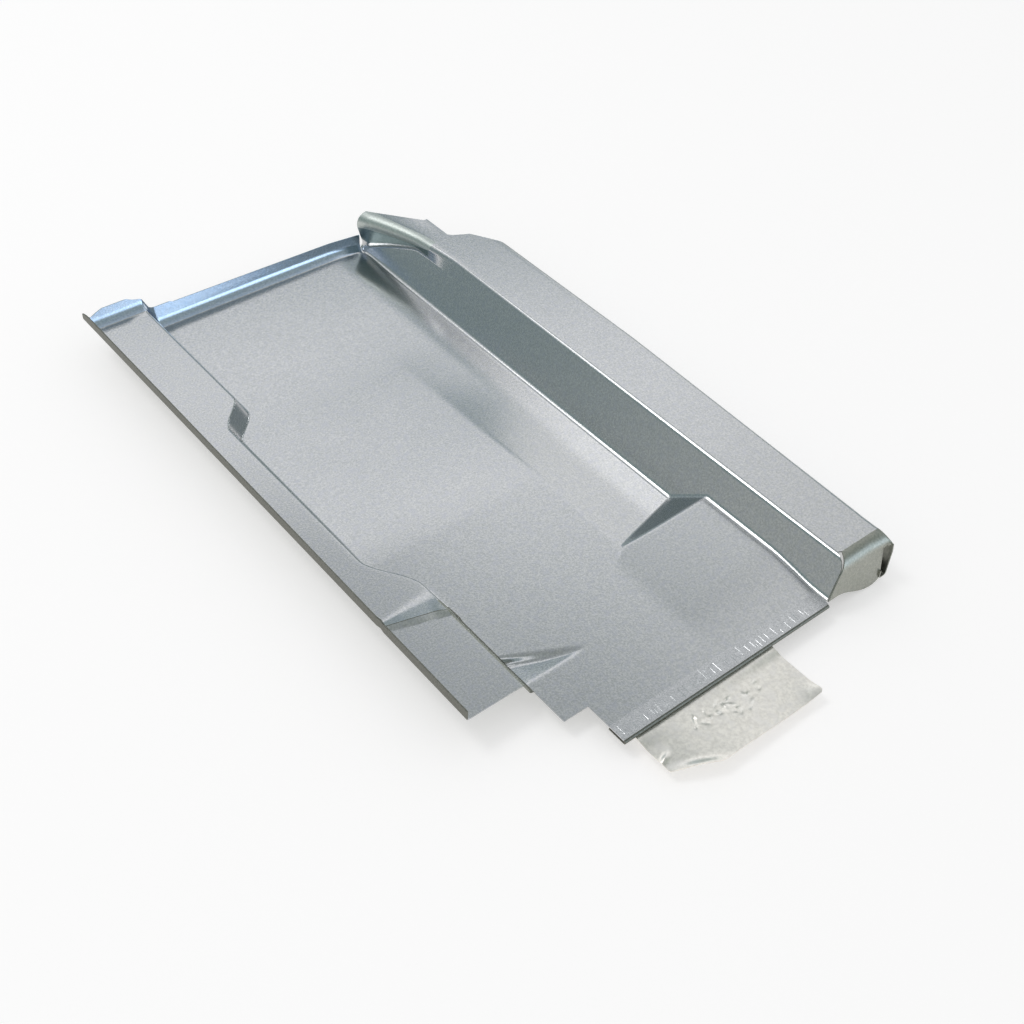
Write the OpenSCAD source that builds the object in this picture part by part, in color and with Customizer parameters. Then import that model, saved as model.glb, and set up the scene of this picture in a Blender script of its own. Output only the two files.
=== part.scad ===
// Pressed metal roof plate: a galvanised pan with side lip, raised side panel,
// cover rib and end upstand, and a soft aluminium apron held in its front hem.
// X runs across the plate, Y from the eaves end to the ridge end, Z up.

/* [Sheet] */
// Thickness of the galvanised sheet
sheet_t = 0.8; // [0.6:0.1:1.2]
// Inside radius of the pressed bends
bend_r = 2.2; // [1.6:0.1:3]

/* [Plate] */
// Length from the front edge to the face of the end upstand
plate_len = 432; // [400:1:480]
// Width over the side lip and the far end of the cover rib
plate_w = 260; // [240:1:300]
// Height of the underside of the rib above the underside of the floor
rib_h = 30; // [26:0.5:36]

/* [Side lip and panel] */
// Height of the side lip above the panel
lip_h = 6.3; // [4:0.1:9]
// How far the side lip runs past the end upstand
lip_overrun = 8; // [2:0.5:12]
// Height of the side panel above the floor
panel_rise = 19.2; // [16:0.2:22]
// Width of the panel where it is wide
panel_wide = 36; // [30:0.5:42]
// Width of the panel where it is narrow
panel_narrow = 19; // [14:0.5:24]
// Sideways run of the wall between panel and floor, for each millimetre of height
panel_draft = 0.48; // [0.4:0.02:0.7]
// Front edge of the panel, from the front edge of the plate
panel_front = 50.7; // [40:0.5:60]
// Start of the front curve of the panel edge
front_curve_y = 133; // [125:1:145]
// Length of the front curve of the panel edge
front_curve_len = 36; // [24:1:44]
// Start of the rear curve of the panel edge
rear_curve_y = 297; // [270:1:310]
// Length of the rear curve of the panel edge
rear_curve_len = 25; // [18:1:36]
// Height of the pressed ridge across the panel
ridge_h = 2.8; // [2:0.2:4]

/* [Floor] */
// Height of the front floor above the main floor
front_rise = 9.5; // [7:0.5:12]
// Depth of the dart pressed beside the panel
dart_depth = 3.6; // [2:0.2:5]
// Length of the dart, from the panel wall to its point
dart_len = 34; // [28:1:42]
// Length of the facet beside the rib, from the rib wall to its point
facet_len = 66; // [50:1:76]
// Start of the gentle ramp from the front floor down to the main floor
ramp_y = 140; // [130:1:150]
// Length of that ramp
ramp_len = 150; // [120:1:160]

/* [Cover rib] */
// Width of the top of the rib at the ridge end
rib_top_w = 42; // [36:0.5:50]
// How much narrower the top of the rib is at the eaves end
rib_taper = 6.5; // [0:0.5:9]
// Sideways run of the rib wall, for each millimetre of height
rib_draft = 0.556; // [0.4:0.01:0.7]
// Height of the lower edge of the rib's outer wall
rib_skirt_z = 2.4; // [1:0.2:5]
// Width of the turned-in edge of the outer wall
return_w = 6; // [4.5:0.5:8]
// Height of the turned-in edge
return_h = 6; // [4:0.5:9]
// Length of the stretch where the rib wall bends into its end flange
flange_len = 89; // [75:1:100]
// Step in the slanted ridge end of the rib's top
ridge_step = 23; // [12:1:30]
// How far the top of the end flange leans in over the floor
flange_lean = 5; // [3:0.5:7]
// Height of the free edge of the end flange above the floor
flange_h = 27; // [25:0.5:29]
// Radius of the bend between the end flange and the top of the rib
flange_bend = 8; // [5:0.5:10]

/* [End upstand] */
// Height of the end upstand over the floor
upstand_h = 12; // [9:0.5:16]
// Height of the end upstand over the panel
upstand_panel_h = 9; // [6:0.5:12]
// Radius of the cove under the end upstand
cove_r = 4.5; // [3:0.5:7]

/* [Front edge] */
// Front edge of the strip beside the panel, from the front edge of the plate
strip_front = 27.4; // [20:0.5:36]
// Left end of the hem
hem_x = 57.6; // [52:0.2:66]
// Depth of the hem folded under the front edge
hem_d = 12; // [8:0.5:16]
// Radius of the bend from the rib's top down to its end flap
nose_r = 8; // [5:0.5:12]
// Lean of the end flap, from its bend to its lower edge
flap_lean = 3.2; // [1:0.2:5]
// Distance of the rib wall's front edge from the front edge of the plate
wall_front = 4.6; // [3:0.2:8]

/* [Apron] */
// Thickness of the soft aluminium apron
apron_t = 0.7; // [0.5:0.1:1]
// Left edge of the apron
apron_x = 65; // [60:0.5:70]
// Width of the apron
apron_w = 96; // [80:1:110]
// How far the apron stands out of the hem
apron_out = 35.5; // [25:0.5:60]
// Play between the apron and the hem, on each face
apron_play = 0.15; // [0.1:0.05:0.3]
// Gap between the apron's hooked edge and the fold of the hem
apron_short = 1; // [0.5:0.25:3]
// Radius of the apron's corners
apron_corner = 2; // [0.5:0.5:4]
// Width of the cut corner of the apron
apron_cut_w = 24; // [10:1:30]
// Depth of the cut corner of the apron
apron_cut_d = 11.5; // [6:0.5:16]

/* [Hidden] */
ARC = 3;                        // segments in each bend
// heights of the upper face
floor_z = sheet_t;
front_z = floor_z + front_rise;
panel_z = floor_z + panel_rise;
rib_z = floor_z + rib_h;
// front floor: lines that cross the plate
dart_front_y = 56;
dart_back_y = 78;
dart_lowest = 0.8;              // where its lowest line lies between those two
facet_front_y = 97.6;
facet_back_y = 118;
crease_gap = 2.4;               // between the lines where neither dart nor facet is
// rib, seen along the plate
rib_top_x = plate_w - rib_top_w;
rib_foot_x = rib_top_x - rib_draft*rib_h;
floor_gap = 3.4;                // from the last line of the floor to the foot of the rib
taper_from = 0.5*plate_len;
taper_to = 20;
dart_x = panel_wide + panel_draft*(panel_rise - front_rise);
dart_tip_x = dart_x + dart_len;
facet_tip_x = rib_foot_x - facet_len;
// the ridge across the panel
ridge_run = 4.5;
ridge_left = 0.35;              // share of its height that it has at the lip
ridge_line = [[0, 121.7], [panel_wide, 110.5], [panel_wide + 4, 110.5],
              [rib_foot_x - 41, facet_back_y + 9]];
behind_line = [[0, 124.7], [panel_wide, 134]];
behind_y = behind_line[1][1];
// ridge end: the lip and the end flange run out, the top of the rib is cut off in slants
rear_end_y = rear_curve_y + rear_curve_len;
flange_y = plate_len - flange_len;
flange_end_y = plate_len - sheet_t - 1.2;
flange_low = 3.5;               // least height of the flange's cove above the floor
flange_drop = 1.4;              // how the cove curves down: 1 is straight
run_out_y = plate_len - 27;
lip_dip = 2;                    // how far the lip's edge dips at its end
slant = [[rib_foot_x + 5, flange_end_y], [rib_top_x + 12, plate_len - 37]];
step_y = slant[1][1] - ridge_step;
slant_right = [[slant[1][0], step_y], [rib_top_x + 27.5, step_y - 8], [rib_top_x + 39.5, step_y - 28]];
// end upstand
upstand_fall = 3;               // how much lower it is beside the rib
upstand_left = 8;               // width at the lip over which it comes up
// hem folded round the apron
hem_r = sheet_t + apron_t/2 + apron_play;
// end flap of the rib
nose_y = wall_front + nose_r;
behind_nose_y = nose_y + 1.4;
seam = 0.2;                     // gap between the rib wall and the back of the flap
skirt_front = 1.2;              // front of the outer wall's skirt
flap_side = 0.6;                // lowest height of the flap
flap_from = 0.15;               // where its lower edge starts to fall, as a share of its width
flap_to = 0.86;                 // where it is lowest
flap_lift = 2.4;                // rise of its round corner beyond
// the frame's own origin
front_end = -apron_out;
back_end = plate_len + lip_overrun;

function mix(a, b, f) = a + (b - a)*f;
function clamp01(f) = max(0, min(1, f));
function ramp(y, a, b) = clamp01((y - a)/(b - a));
function ease(f) = f*f*(3 - 2*f);
function unit(v) = norm(v) == 0 ? v : v/norm(v);
// y, stretched behind a so that b comes to lie at c
function stretch(y, a, b, c) = y <= a ? y : mix(a, c, (y - a)/(b - a));

// An arc of radius r in the corner a-b-c, as ARC + 1 points. Where a-b-c is all
// but straight, the points lie along it instead.
function corner(a, b, c, r) =
    let (u = unit(a - b), v = unit(c - b), half = acos(max(-1, min(1, u*v)))/2)
    half > 89.5 ? [for (k = [0:ARC]) b + (v - u)*r*0.2*(k/ARC - 0.5)*2]
    : let (d = r/tan(half), mid = b + unit(u + v)*r/sin(half),
           p = b + u*d - mid, q = b + v*d - mid, turn = 180 - 2*half)
      [for (k = [0:ARC])
          mid + (p*sin(turn*(1 - k/ARC)) + q*sin(turn*k/ARC))/sin(turn)];

// Width of the panel at y
function panel_width(y) =
    let (front = ease(ramp(y, front_curve_y, front_curve_y + front_curve_len)),
         rear = ease(ramp(y, rear_curve_y, rear_curve_y + rear_curve_len)))
    mix(mix(panel_wide, panel_narrow, front), panel_wide, rear);

// Lines across the front floor, at x
function in_dart(x) = clamp01((dart_tip_x - x)/dart_len);
function in_facet(x) = clamp01((x - facet_tip_x)/facet_len);
function front_line(x) =
    mix(dart_front_y, facet_front_y, ramp(x, dart_tip_x, facet_tip_x));
function back_line(x) = front_line(x) + crease_gap
    + (dart_back_y - dart_front_y - crease_gap)*in_dart(x)
    + (facet_back_y - facet_front_y - crease_gap)*in_facet(x);
function middle_line(x) = mix(front_line(x), back_line(x), mix(0.5, dart_lowest, in_dart(x)));

// Height of the floor on those lines, and behind them
function back_height(x) = front_z - front_rise*in_facet(x);
function middle_height(x) = mix(front_z, back_height(x), 0.5) - dart_depth*in_dart(x);
function behind_height(x, y) =
    mix(back_height(x), floor_z, ease(ramp(y, ramp_y, ramp_y + ramp_len)));

// Stations along the plate, from front to back, each [kind, value]. Most run
// straight across; the kinds with a name of their own bend with x.
CURLS = 6;                      // stations folded under the front edge
TURNS = 3;                      // of them, stations round the fold
ENDS = 4;                       // stations between the step of the rib and the upstand
UPS = 4;                        // stations of the end upstand
COVE = 0.75;                    // share of them on its cove
STATIONS = concat(
    [for (k = [CURLS:-1:1]) ["curl", k]],
    [["edge", 0], ["y", behind_nose_y], ["y", strip_front], ["y", panel_front],
     ["front", 0], ["middle", 0], ["back", 0],
     ["ridge", -ridge_run], ["ridge", 0], ["behind", 0]],
    [for (k = [1:6]) ["y", mix(behind_y, front_curve_y + front_curve_len, k/6)]],
    [for (k = [1:5]) ["y", mix(front_curve_y + front_curve_len, rear_curve_y, k/6)]],
    [for (k = [0:6]) ["y", mix(rear_curve_y, rear_end_y, k/6)]],
    [for (k = [0:2]) ["y", mix(flange_y, step_y, k/2)]],
    [for (k = [1:ENDS]) ["y", mix(step_y, plate_len - cove_r, k/ENDS)]],
    [for (k = [1:UPS]) ["up", k/UPS]]);
ROWS = len(STATIONS);
EDGE_ROW = CURLS;
STRIP_ROW = EDGE_ROW + 2;
PANEL_ROW = EDGE_ROW + 3;
UP_ROW = ROWS - 1 - UPS;
STEP_ROW = UP_ROW - ENDS;       // where the right part of the rib's top ends

function straight_y(s, x) =
    s[0] == "curl" || s[0] == "edge" ? hem_r
    : s[0] == "y" ? s[1]
    : s[0] == "front" ? front_line(x)
    : s[0] == "middle" ? middle_line(x)
    : s[0] == "back" ? back_line(x)
    : s[0] == "ridge" ? lookup(x, ridge_line) + s[1]
    : s[0] == "behind" ? lookup(x, behind_line)
    : plate_len - cove_r*(1 - s[1]);

// Height of the panel at x: the ridge rises to the right
function panel_height(s, x) =
    panel_z + (s[0] == "ridge" && s[1] == 0 ? ridge_h*mix(ridge_left, 1, clamp01(x/panel_wide)) : 0);

// Height of the floor at x
function floor_height(s, x) =
    let (y = straight_y(s, x))
    y <= panel_front || s[0] == "front" ? front_z
    : s[0] == "middle" ? middle_height(x)
    : s[0] == "back" ? back_height(x)
    : behind_height(x, y);

// Outer face of the rib at y
function outer_x(y) = plate_w - rib_taper*(1 - ramp(y, taper_to, taper_from));

// Section across the plate at a station, as points [x, z], left to right. Near
// the ridge end the rib wall has a cove, which runs down from its top to its foot,
// and above the cove it stands upright as the end flange.
FLOOR_STEPS = 8;
TOP_STEPS = [6, 12, 19.5, 27.5];
function section(s) =
    let (w = panel_width(straight_y(s, panel_wide)),
         zp = panel_height(s, w), zl = panel_height(s, 0),
         zf = floor_height(s, dart_x),
         yr = straight_y(s, rib_foot_x),
         zr = floor_height(s, rib_foot_x),
         end = ramp(yr, flange_y, plate_len),
         cove_z = mix(rib_z, zr, pow(end, flange_drop)),
         br_z = min(mix(zr, rib_z, 0.7), max(zr + flange_low, cove_z)),
         fall = (rib_h - flange_h)*pow(end, 3),
         lip = [sheet_t, zl + lip_h], lip_foot = [sheet_t, zl], edge = [w, zp],
         foot = [w + panel_draft*(zp - zf), zf],
         base = [rib_foot_x + rib_draft*(zr - floor_z), zr],
         br = [rib_foot_x + rib_draft*(br_z - floor_z), br_z],
         top_l = [rib_foot_x + rib_draft*(cove_z - floor_z) - flange_lean*end*end, rib_z - fall],
         top_r = [outer_x(yr), rib_z],
         skirt = [top_r[0], rib_skirt_z],
         turned = [top_r[0] - return_w, rib_skirt_z])
    concat(
        [lip], corner(lip, lip_foot, edge, bend_r),
        [mix(lip_foot, edge, 0.5)],
        corner(lip_foot, edge, foot, bend_r),
        corner(edge, foot, [base[0], zf], bend_r),
        [for (k = [0:FLOOR_STEPS - 1])
            let (x = mix(hem_x, base[0] - floor_gap, k/(FLOOR_STEPS - 1))) [x, floor_height(s, x)]],
        corner([foot[0], zr], base, br, bend_r + 1.5),
        corner(base, br, top_l, bend_r*2),
        corner(br, top_l, top_r, mix(bend_r, flange_bend, end)),
        [for (d = TOP_STEPS) [rib_top_x + d, rib_z - fall*max(0, 1 - d/TOP_STEPS[1])]],
        corner(top_l, top_r, skirt, bend_r*2),
        [mix(top_r, skirt, 0.6)],
        corner(top_r, skirt, turned, bend_r),
        corner(skirt, turned, turned + [0, return_h], bend_r),
        [turned + [0, return_h]]);

// Numbers of the columns of points where one part of the section ends
LIP_COL = 2;                                    // on the bend at the foot of the lip
EDGE_COL = 2 + ARC + 1;                         // first point of the panel's edge bend
FOOT_COL = EDGE_COL + 2*ARC + 1;                // last point of the bend at its wall's foot
HEM_COL = FOOT_COL + 1;                         // left end of the hem
FLOOR_COL = FOOT_COL + FLOOR_STEPS;             // last point of the floor
TOP_COL = FLOOR_COL + 3*(ARC + 1);              // first flat point of the rib's top
SLANT_COL = TOP_COL + 2;                        // where the ridge end steps
OUT_COL = TOP_COL + len(TOP_STEPS) + 1;         // first point of the outer bend
COLS = OUT_COL + 3*ARC + 5;

// Is there metal between rows j and j + 1, columns i and i + 1?
function metal(j, i) =
    j < 0 || i < 0 || j > ROWS - 2 || i > COLS - 2 ? false
    : j < EDGE_ROW ? (i >= HEM_COL && i < FLOOR_COL)
                     || (i >= TOP_COL && i < OUT_COL)
                     || (i >= OUT_COL && j >= EDGE_ROW - TURNS)
    : j < STRIP_ROW ? i >= HEM_COL
    : j < PANEL_ROW ? i >= FOOT_COL
    : j >= UP_ROW && (i == LIP_COL || i == FLOOR_COL) ? false
    : j >= STEP_ROW && i >= SLANT_COL ? false
    : true;

// Rise of the end upstand at column i, at x
function upstand_rise(i, x) =
    i < FOOT_COL ? upstand_panel_h*mix(0.5, 1, clamp01(x/upstand_left))
    : upstand_h - upstand_fall*clamp01(x/rib_foot_x);

// Front of the nose at height z
function nose_front(z) =
    let (d = z - (rib_z - nose_r))
    d <= 0 ? wall_front + flap_lean*d/(rib_z - nose_r)
    : nose_y - sqrt(max(0, nose_r*nose_r - d*d));

// Lower edge of the end flap, at f of its width
function flap_low(f) =
    mix(front_z - sheet_t, flap_side, ease(ramp(f, flap_from, flap_to)))
    + flap_lift*pow(ramp(f, flap_to, 1), 2);

// Points folded under the front edge, at fold station k: how far round the fold
// they are, and how far past it
function round_fold(k) = min(1, k/TURNS);
function past_fold(k) = max(0, k - TURNS)/(CURLS - TURNS);
// The hem under the floor ...
function hem_point(k, x) =
    let (a = 180*round_fold(k))
    [x, hem_r*(1 - sin(a)) + past_fold(k)*(hem_d - hem_r), front_z - hem_r*(1 - cos(a))];
// ... the front of the rib's outer wall ...
function wall_front_point(k, i, x, z) =
    let (a = 90*round_fold(k), over = clamp01((i - OUT_COL)/ARC))
    [x, nose_y - (nose_y - mix(wall_front, skirt_front, over))*sin(a),
     z - (1 - over)*nose_r*(1 - cos(a))];
// ... and the flap in front of the rib
function flap_point(k, i, x) =
    let (f = clamp01((i - TOP_COL)/(OUT_COL - TOP_COL)), t = round_fold(k),
         z = mix(rib_z - nose_r*(1 - cos(90*t)), flap_low(f), past_fold(k)),
         left = rib_foot_x + rib_draft*(z - floor_z) + seam,
         right = outer_x(0) - 2*bend_r)
    [mix(mix(x, left, t), mix(left, right, f), t), nose_front(z), z];

// The end upstand: a cove, then straight up to height h
function upstand_point(f, x, z, h) =
    let (a = 90*min(1, f/COVE))
    f <= COVE ? [x, plate_len - cove_r*(1 - sin(a)), z + cove_r*(1 - cos(a))]
              : [x, plate_len, z + h];

// A point of the upper face: column i of station s
function surface_point(s, i, p) =
    let (x = p[0], z = p[1], y = straight_y(s, x))
    s[0] == "curl" ? (i <= FLOOR_COL + 1 ? hem_point(s[1], x)
        : i <= OUT_COL ? flap_point(s[1], i, x)
        : wall_front_point(s[1], i, x, z))
    : s[0] == "edge" && i > FLOOR_COL + 1 ? [x, i < TOP_COL ? nose_front(z) + sheet_t + seam : nose_y, z]
    : i <= LIP_COL ? [x, stretch(y, run_out_y, plate_len, back_end),
                      z - (i == 0 && s[0] == "up" ? lip_dip*s[1]*s[1] : 0)]
    : i <= FLOOR_COL ? (s[0] == "up" ? upstand_point(s[1], x, z, upstand_rise(i, x)) : [x, y, z])
    : i < TOP_COL ? [x, stretch(y, run_out_y, plate_len, flange_end_y), z]
    : i <= SLANT_COL ? [x, stretch(y, step_y, plate_len, lookup(x, slant)), z]
    : [x, stretch(y, rear_end_y, step_y, lookup(x, slant_right)), z];

// The pressed sheet: its upper face, the same face set down by the thickness of
// the sheet, and the edges between the two wherever the metal ends
module pressed_sheet() {
    upper = [for (s = STATIONS) let (points = section(s))
                [for (i = [0:COLS - 1]) surface_point(s, i, points[i])]];
    function row(j, i, d) =
        metal(d < 0 ? j - 1 : j, i) || metal(d < 0 ? j - 1 : j, i - 1) ? j + d : j;
    function col(j, i, d) =
        metal(j, d < 0 ? i - 1 : i) || metal(j - 1, d < 0 ? i - 1 : i) ? i + d : i;
    lower = [for (j = [0:ROWS - 1]) [for (i = [0:COLS - 1])
                let (across = upper[j][col(j, i, 1)] - upper[j][col(j, i, -1)],
                     along = upper[row(j, i, 1)][i] - upper[row(j, i, -1)][i])
                upper[j][i] - sheet_t*unit(cross(across, along))]];
    function top(j, i) = j*COLS + i;
    function under(j, i) = (ROWS + j)*COLS + i;
    function edge(j1, i1, j2, i2) =
        [[top(j1, i1), top(j2, i2), under(j2, i2)], [top(j1, i1), under(j2, i2), under(j1, i1)]];
    faces = [for (j = [0:ROWS - 2], i = [0:COLS - 2]) if (metal(j, i))
        each concat(
            [[top(j, i), top(j + 1, i), top(j + 1, i + 1)],
             [top(j, i), top(j + 1, i + 1), top(j, i + 1)],
             [under(j, i), under(j + 1, i + 1), under(j + 1, i)],
             [under(j, i), under(j, i + 1), under(j + 1, i + 1)]],
            metal(j - 1, i) ? [] : edge(j, i, j, i + 1),
            metal(j + 1, i) ? [] : edge(j + 1, i + 1, j + 1, i),
            metal(j, i - 1) ? [] : edge(j + 1, i, j, i),
            metal(j, i + 1) ? [] : edge(j, i + 1, j + 1, i + 1))];
    polyhedron([for (side = [upper, lower], line = side) each line], faces, convexity = 12);
}

// From the corner of the plate to the middle of its underside
module placed() {
    translate([-plate_w/2, -(front_end + back_end)/2, 0]) children();
}

module roof_plate() {
    color([0.72, 0.74, 0.75]) placed() pressed_sheet();
}

// Side view of the apron, as points [y, z] along one face: d = 0 is the face
// turned to the hem, d = apron_t the other one. Its back edge hooks round the
// hem's lower leg, and the rest runs out under it.
function apron_face(d) =
    let (leg_z = front_z - 2*hem_r + sheet_t/2, bend = sheet_t/2 + apron_play + d)
    concat([[hem_r + apron_short, leg_z + bend]],
           [for (a = [90:-180/(4*ARC):-90]) [hem_d, leg_z] + bend*[cos(a), sin(a)]],
           [[-apron_out, leg_z - bend]]);

function apron_side() =
    let (near = apron_face(0), far = apron_face(apron_t))
    concat(near, [for (k = [len(far) - 1:-1:0]) far[k]]);

module apron() {
    color([0.82, 0.81, 0.77]) placed()
    intersection() {
        translate([apron_x, 0, 0])
        multmatrix([[0, 0, 1, 0], [1, 0, 0, 0], [0, 1, 0, 0], [0, 0, 0, 1]])
        linear_extrude(apron_w)
            polygon(apron_side());
        linear_extrude(rib_z)
            offset(r = apron_corner) offset(delta = -apron_corner)
            polygon([[apron_x, plate_len], [apron_x, apron_cut_d - apron_out],
                     [apron_x + apron_cut_w, -apron_out],
                     [apron_x + apron_w, -apron_out], [apron_x + apron_w, plate_len]]);
    }
}

roof_plate();
apron();
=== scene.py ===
"""Looks of the pressed roof plate: a fine mesh of the pressed sheet, the dented
aluminium apron, their metals, a plain studio and the camera. Lengths in the
making of the meshes are millimetres on the plate: x from the side lip, y from
the front edge, z from the underside of the floor."""

import math

import bpy
import numpy as np
from mathutils import Matrix, Vector


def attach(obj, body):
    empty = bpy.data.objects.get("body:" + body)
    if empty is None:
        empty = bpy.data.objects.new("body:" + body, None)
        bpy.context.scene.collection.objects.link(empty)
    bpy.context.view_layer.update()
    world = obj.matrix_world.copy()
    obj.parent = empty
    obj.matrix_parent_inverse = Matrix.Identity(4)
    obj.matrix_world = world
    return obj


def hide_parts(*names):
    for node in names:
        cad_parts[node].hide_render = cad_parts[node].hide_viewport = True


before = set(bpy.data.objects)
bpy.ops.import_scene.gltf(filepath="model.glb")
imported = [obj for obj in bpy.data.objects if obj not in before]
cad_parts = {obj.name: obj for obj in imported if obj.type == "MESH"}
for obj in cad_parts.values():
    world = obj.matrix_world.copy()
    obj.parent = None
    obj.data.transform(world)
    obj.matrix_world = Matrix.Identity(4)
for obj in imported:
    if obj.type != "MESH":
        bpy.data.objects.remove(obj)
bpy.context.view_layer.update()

# --- Driving sizes ------------------------------------------------------------
# They are the part's own, but for the ridge, dart, facet, ramp and cove, which
# were refined on the looks.
MM = 0.001
SHEET_T = 0.8
BEND_R, LIP_R = 2.2, 0.9
PLATE_LEN, PLATE_W, RIB_H = 432.0, 260.0, 30.0
LIP_H, LIP_OVERRUN = 6.3, 8.0
PANEL_RISE, PANEL_WIDE, PANEL_NARROW, PANEL_DRAFT = 19.2, 36.0, 19.0, 0.48
PANEL_FRONT = 50.7
FRONT_CURVE_Y, FRONT_CURVE_LEN = 133.0, 36.0
REAR_CURVE_Y, REAR_CURVE_LEN = 297.0, 25.0
RIDGE_H = 3.0
FRONT_RISE, DART_DEPTH, DART_LEN, FACET_LEN, RAMP_Y, RAMP_LEN = 9.5, 4.2, 39.0, 56.0, 165.0, 200.0
RIB_TOP_W, RIB_TAPER, RIB_DRAFT, RIB_SKIRT_Z = 42.0, 6.5, 0.556, 2.4
RETURN_W, RETURN_H = 6.0, 6.0
FLANGE_LEN, RIDGE_STEP, FLANGE_LEAN, FLANGE_H, FLANGE_BEND = 89.0, 23.0, 5.0, 27.0, 8.0
UPSTAND_H, UPSTAND_PANEL_H, COVE_Y, COVE_R, UPSTAND_LEAN = 12.0, 9.0, 8.0, 7.0, 16.0
STRIP_FRONT, HEM_X, HEM_D = 27.4, 57.6, 12.0
NOSE_R, FLAP_LEAN, WALL_FRONT = 8.0, 3.2, 4.6
APRON_T, APRON_X, APRON_W, APRON_OUT, APRON_PLAY = 0.7, 65.0, 96.0, 35.5, 0.15
APRON_SHORT, APRON_CUT_W, APRON_CUT_D = 1.0, 24.0, 11.5

# Heights and places that follow from them, and the smaller shapes
FLOOR_Z = SHEET_T
FRONT_Z = FLOOR_Z + FRONT_RISE
PANEL_Z = FLOOR_Z + PANEL_RISE
RIB_Z = FLOOR_Z + RIB_H
RIB_TOP_X = PLATE_W - RIB_TOP_W
RIB_FOOT_X = RIB_TOP_X - RIB_DRAFT * RIB_H
HEM_R = SHEET_T + APRON_T / 2 + APRON_PLAY
NOSE_Y = WALL_FRONT + NOSE_R
SEAM = 0.2
SKIRT_FRONT = 1.2
FLAP_SIDE, FLAP_FROM, FLAP_TO, FLAP_LIFT = 0.6, 0.15, 0.86, 2.4
DART_FRONT_Y, DART_BACK_Y, DART_LOWEST = 56.0, 78.0, 0.92
FACET_FRONT_Y, FACET_BACK_Y = 97.6, 118.0
CREASE_GAP = 2.4
DART_X = PANEL_WIDE + PANEL_DRAFT * (PANEL_RISE - FRONT_RISE)
DART_TIP_X = DART_X + DART_LEN
FACET_TIP_X = RIB_FOOT_X - FACET_LEN
FLOOR_GAP = 2.6
RIDGE_RUN, RIDGE_LEFT = 2.8, 0.35
RIDGE_SINK, RIDGE_SINK_X, RIDGE_TAIL = 0.6, PANEL_WIDE - 6, 0.3
RIDGE_END_X = RIB_FOOT_X - 41
# the ridge's crest and the foot of its rear slope, as x values and their y values
RIDGE_LINE = ((0, PANEL_WIDE, PANEL_WIDE + 4, RIDGE_END_X), (121.7, 110.5, 110.5, FACET_BACK_Y + 9))
BEHIND_LINE = ((0, PANEL_WIDE, RIDGE_END_X), (124.9, 127.0, 134.0))
TAPER_FROM, TAPER_TO = 0.5 * PLATE_LEN, 20.0
REAR_END_Y = REAR_CURVE_Y + REAR_CURVE_LEN
FLANGE_Y = PLATE_LEN - FLANGE_LEN
FLANGE_END_Y = PLATE_LEN - SHEET_T - 1.2
FLANGE_LOW, FLANGE_DROP, FLANGE_FALL = 3.5, 1.4, 3
BREAK_HIGHEST = 0.7        # share of the wall's height where the flange's bend sets in
FOOT_BEND, TOP_BEND, WIDE_BEND = BEND_R + 1.5, BEND_R * 1.4, BEND_R * 2
FLANGE_TEAL_SOFT_LEN = 64.0         # length of the flange's bends, from the far end, with a painted dark teal reflection on the cove and a rougher finish on the top bend
FOOT_SHADE_LEN = 118.0          # length from the front over which the bends at the panel's foot have painted shade
WORN_ROWS = 4
RUN_OUT_Y = PLATE_LEN - 27
LIP_DIP = 2.0
UPSTAND_FALL, UPSTAND_LEFT, UPSTAND_LOW = 3.0, 8.0, 0.5
TURN_DOWN, UPSTAND_REACH, UPSTAND_REACH_X = 10.0, 3.0, RIB_FOOT_X - 20
UPSTAND_LEAST = 1.0
SLANT_X = RIB_TOP_X + 12
SLANT = ((RIB_FOOT_X + 5, SLANT_X), (FLANGE_END_Y, PLATE_LEN - 37))
STEP_Y = SLANT[1][1] - RIDGE_STEP
SLANT_RIGHT = ((SLANT_X, RIB_TOP_X + 27.5, RIB_TOP_X + 39.5), (STEP_Y, STEP_Y - 8, STEP_Y - 28))
FRONT_END, BACK_END = -APRON_OUT, PLATE_LEN + LIP_OVERRUN
MIDDLE = Vector((PLATE_W / 2, (FRONT_END + BACK_END) / 2, 0))


# --- Small helpers -----------------------------------------------------------
def mix(a, b, f):
    return a + (b - a) * f


def clamp01(f):
    return max(0.0, min(1.0, f))


def ramp(y, a, b):
    return clamp01((y - a) / (b - a))


def ease(f):
    return f * f * (3 - 2 * f)


def settle(f):
    """From 0 to 1: it sets off level, is steep early and ends level and uncurved."""
    return f * f * (6 - 8 * f + 3 * f * f)


def stretch(y, a, b, c):
    """y, stretched behind a so that b comes to lie at c."""
    return y if y <= a else mix(a, c, (y - a) / (b - a))


NEARLY_STRAIGHT = math.radians(89.5)     # half of a corner that is too blunt to round
STRAIGHT_SPREAD = 0.2                    # share of the radius that its points then take up


def arc(a, b, c, r, n):
    """The corner a-b-c rounded to radius r, as n + 1 points."""
    a, b, c = np.array(a, float), np.array(b, float), np.array(c, float)
    u, v = a - b, c - b
    u, v = u / max(np.linalg.norm(u), 1e-9), v / max(np.linalg.norm(v), 1e-9)
    half = math.acos(max(-1.0, min(1.0, float(u @ v)))) / 2
    if half > NEARLY_STRAIGHT:
        return [b + (v - u) * r * STRAIGHT_SPREAD * (k / n - 0.5) * 2 for k in range(n + 1)]
    centre = b + (u + v) / np.linalg.norm(u + v) * r / math.sin(half)
    p, q = b + u * r / math.tan(half) - centre, b + v * r / math.tan(half) - centre
    turn = math.pi - 2 * half
    return [centre + (p * math.sin(turn * (1 - k / n)) + q * math.sin(turn * k / n)) / math.sin(turn)
            for k in range(n + 1)]


CREASE_ANGLE = 38        # degrees from which an edge is drawn sharp
FLAT_WEIGHT = 70         # how far large flat faces rule the shading beside them


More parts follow.
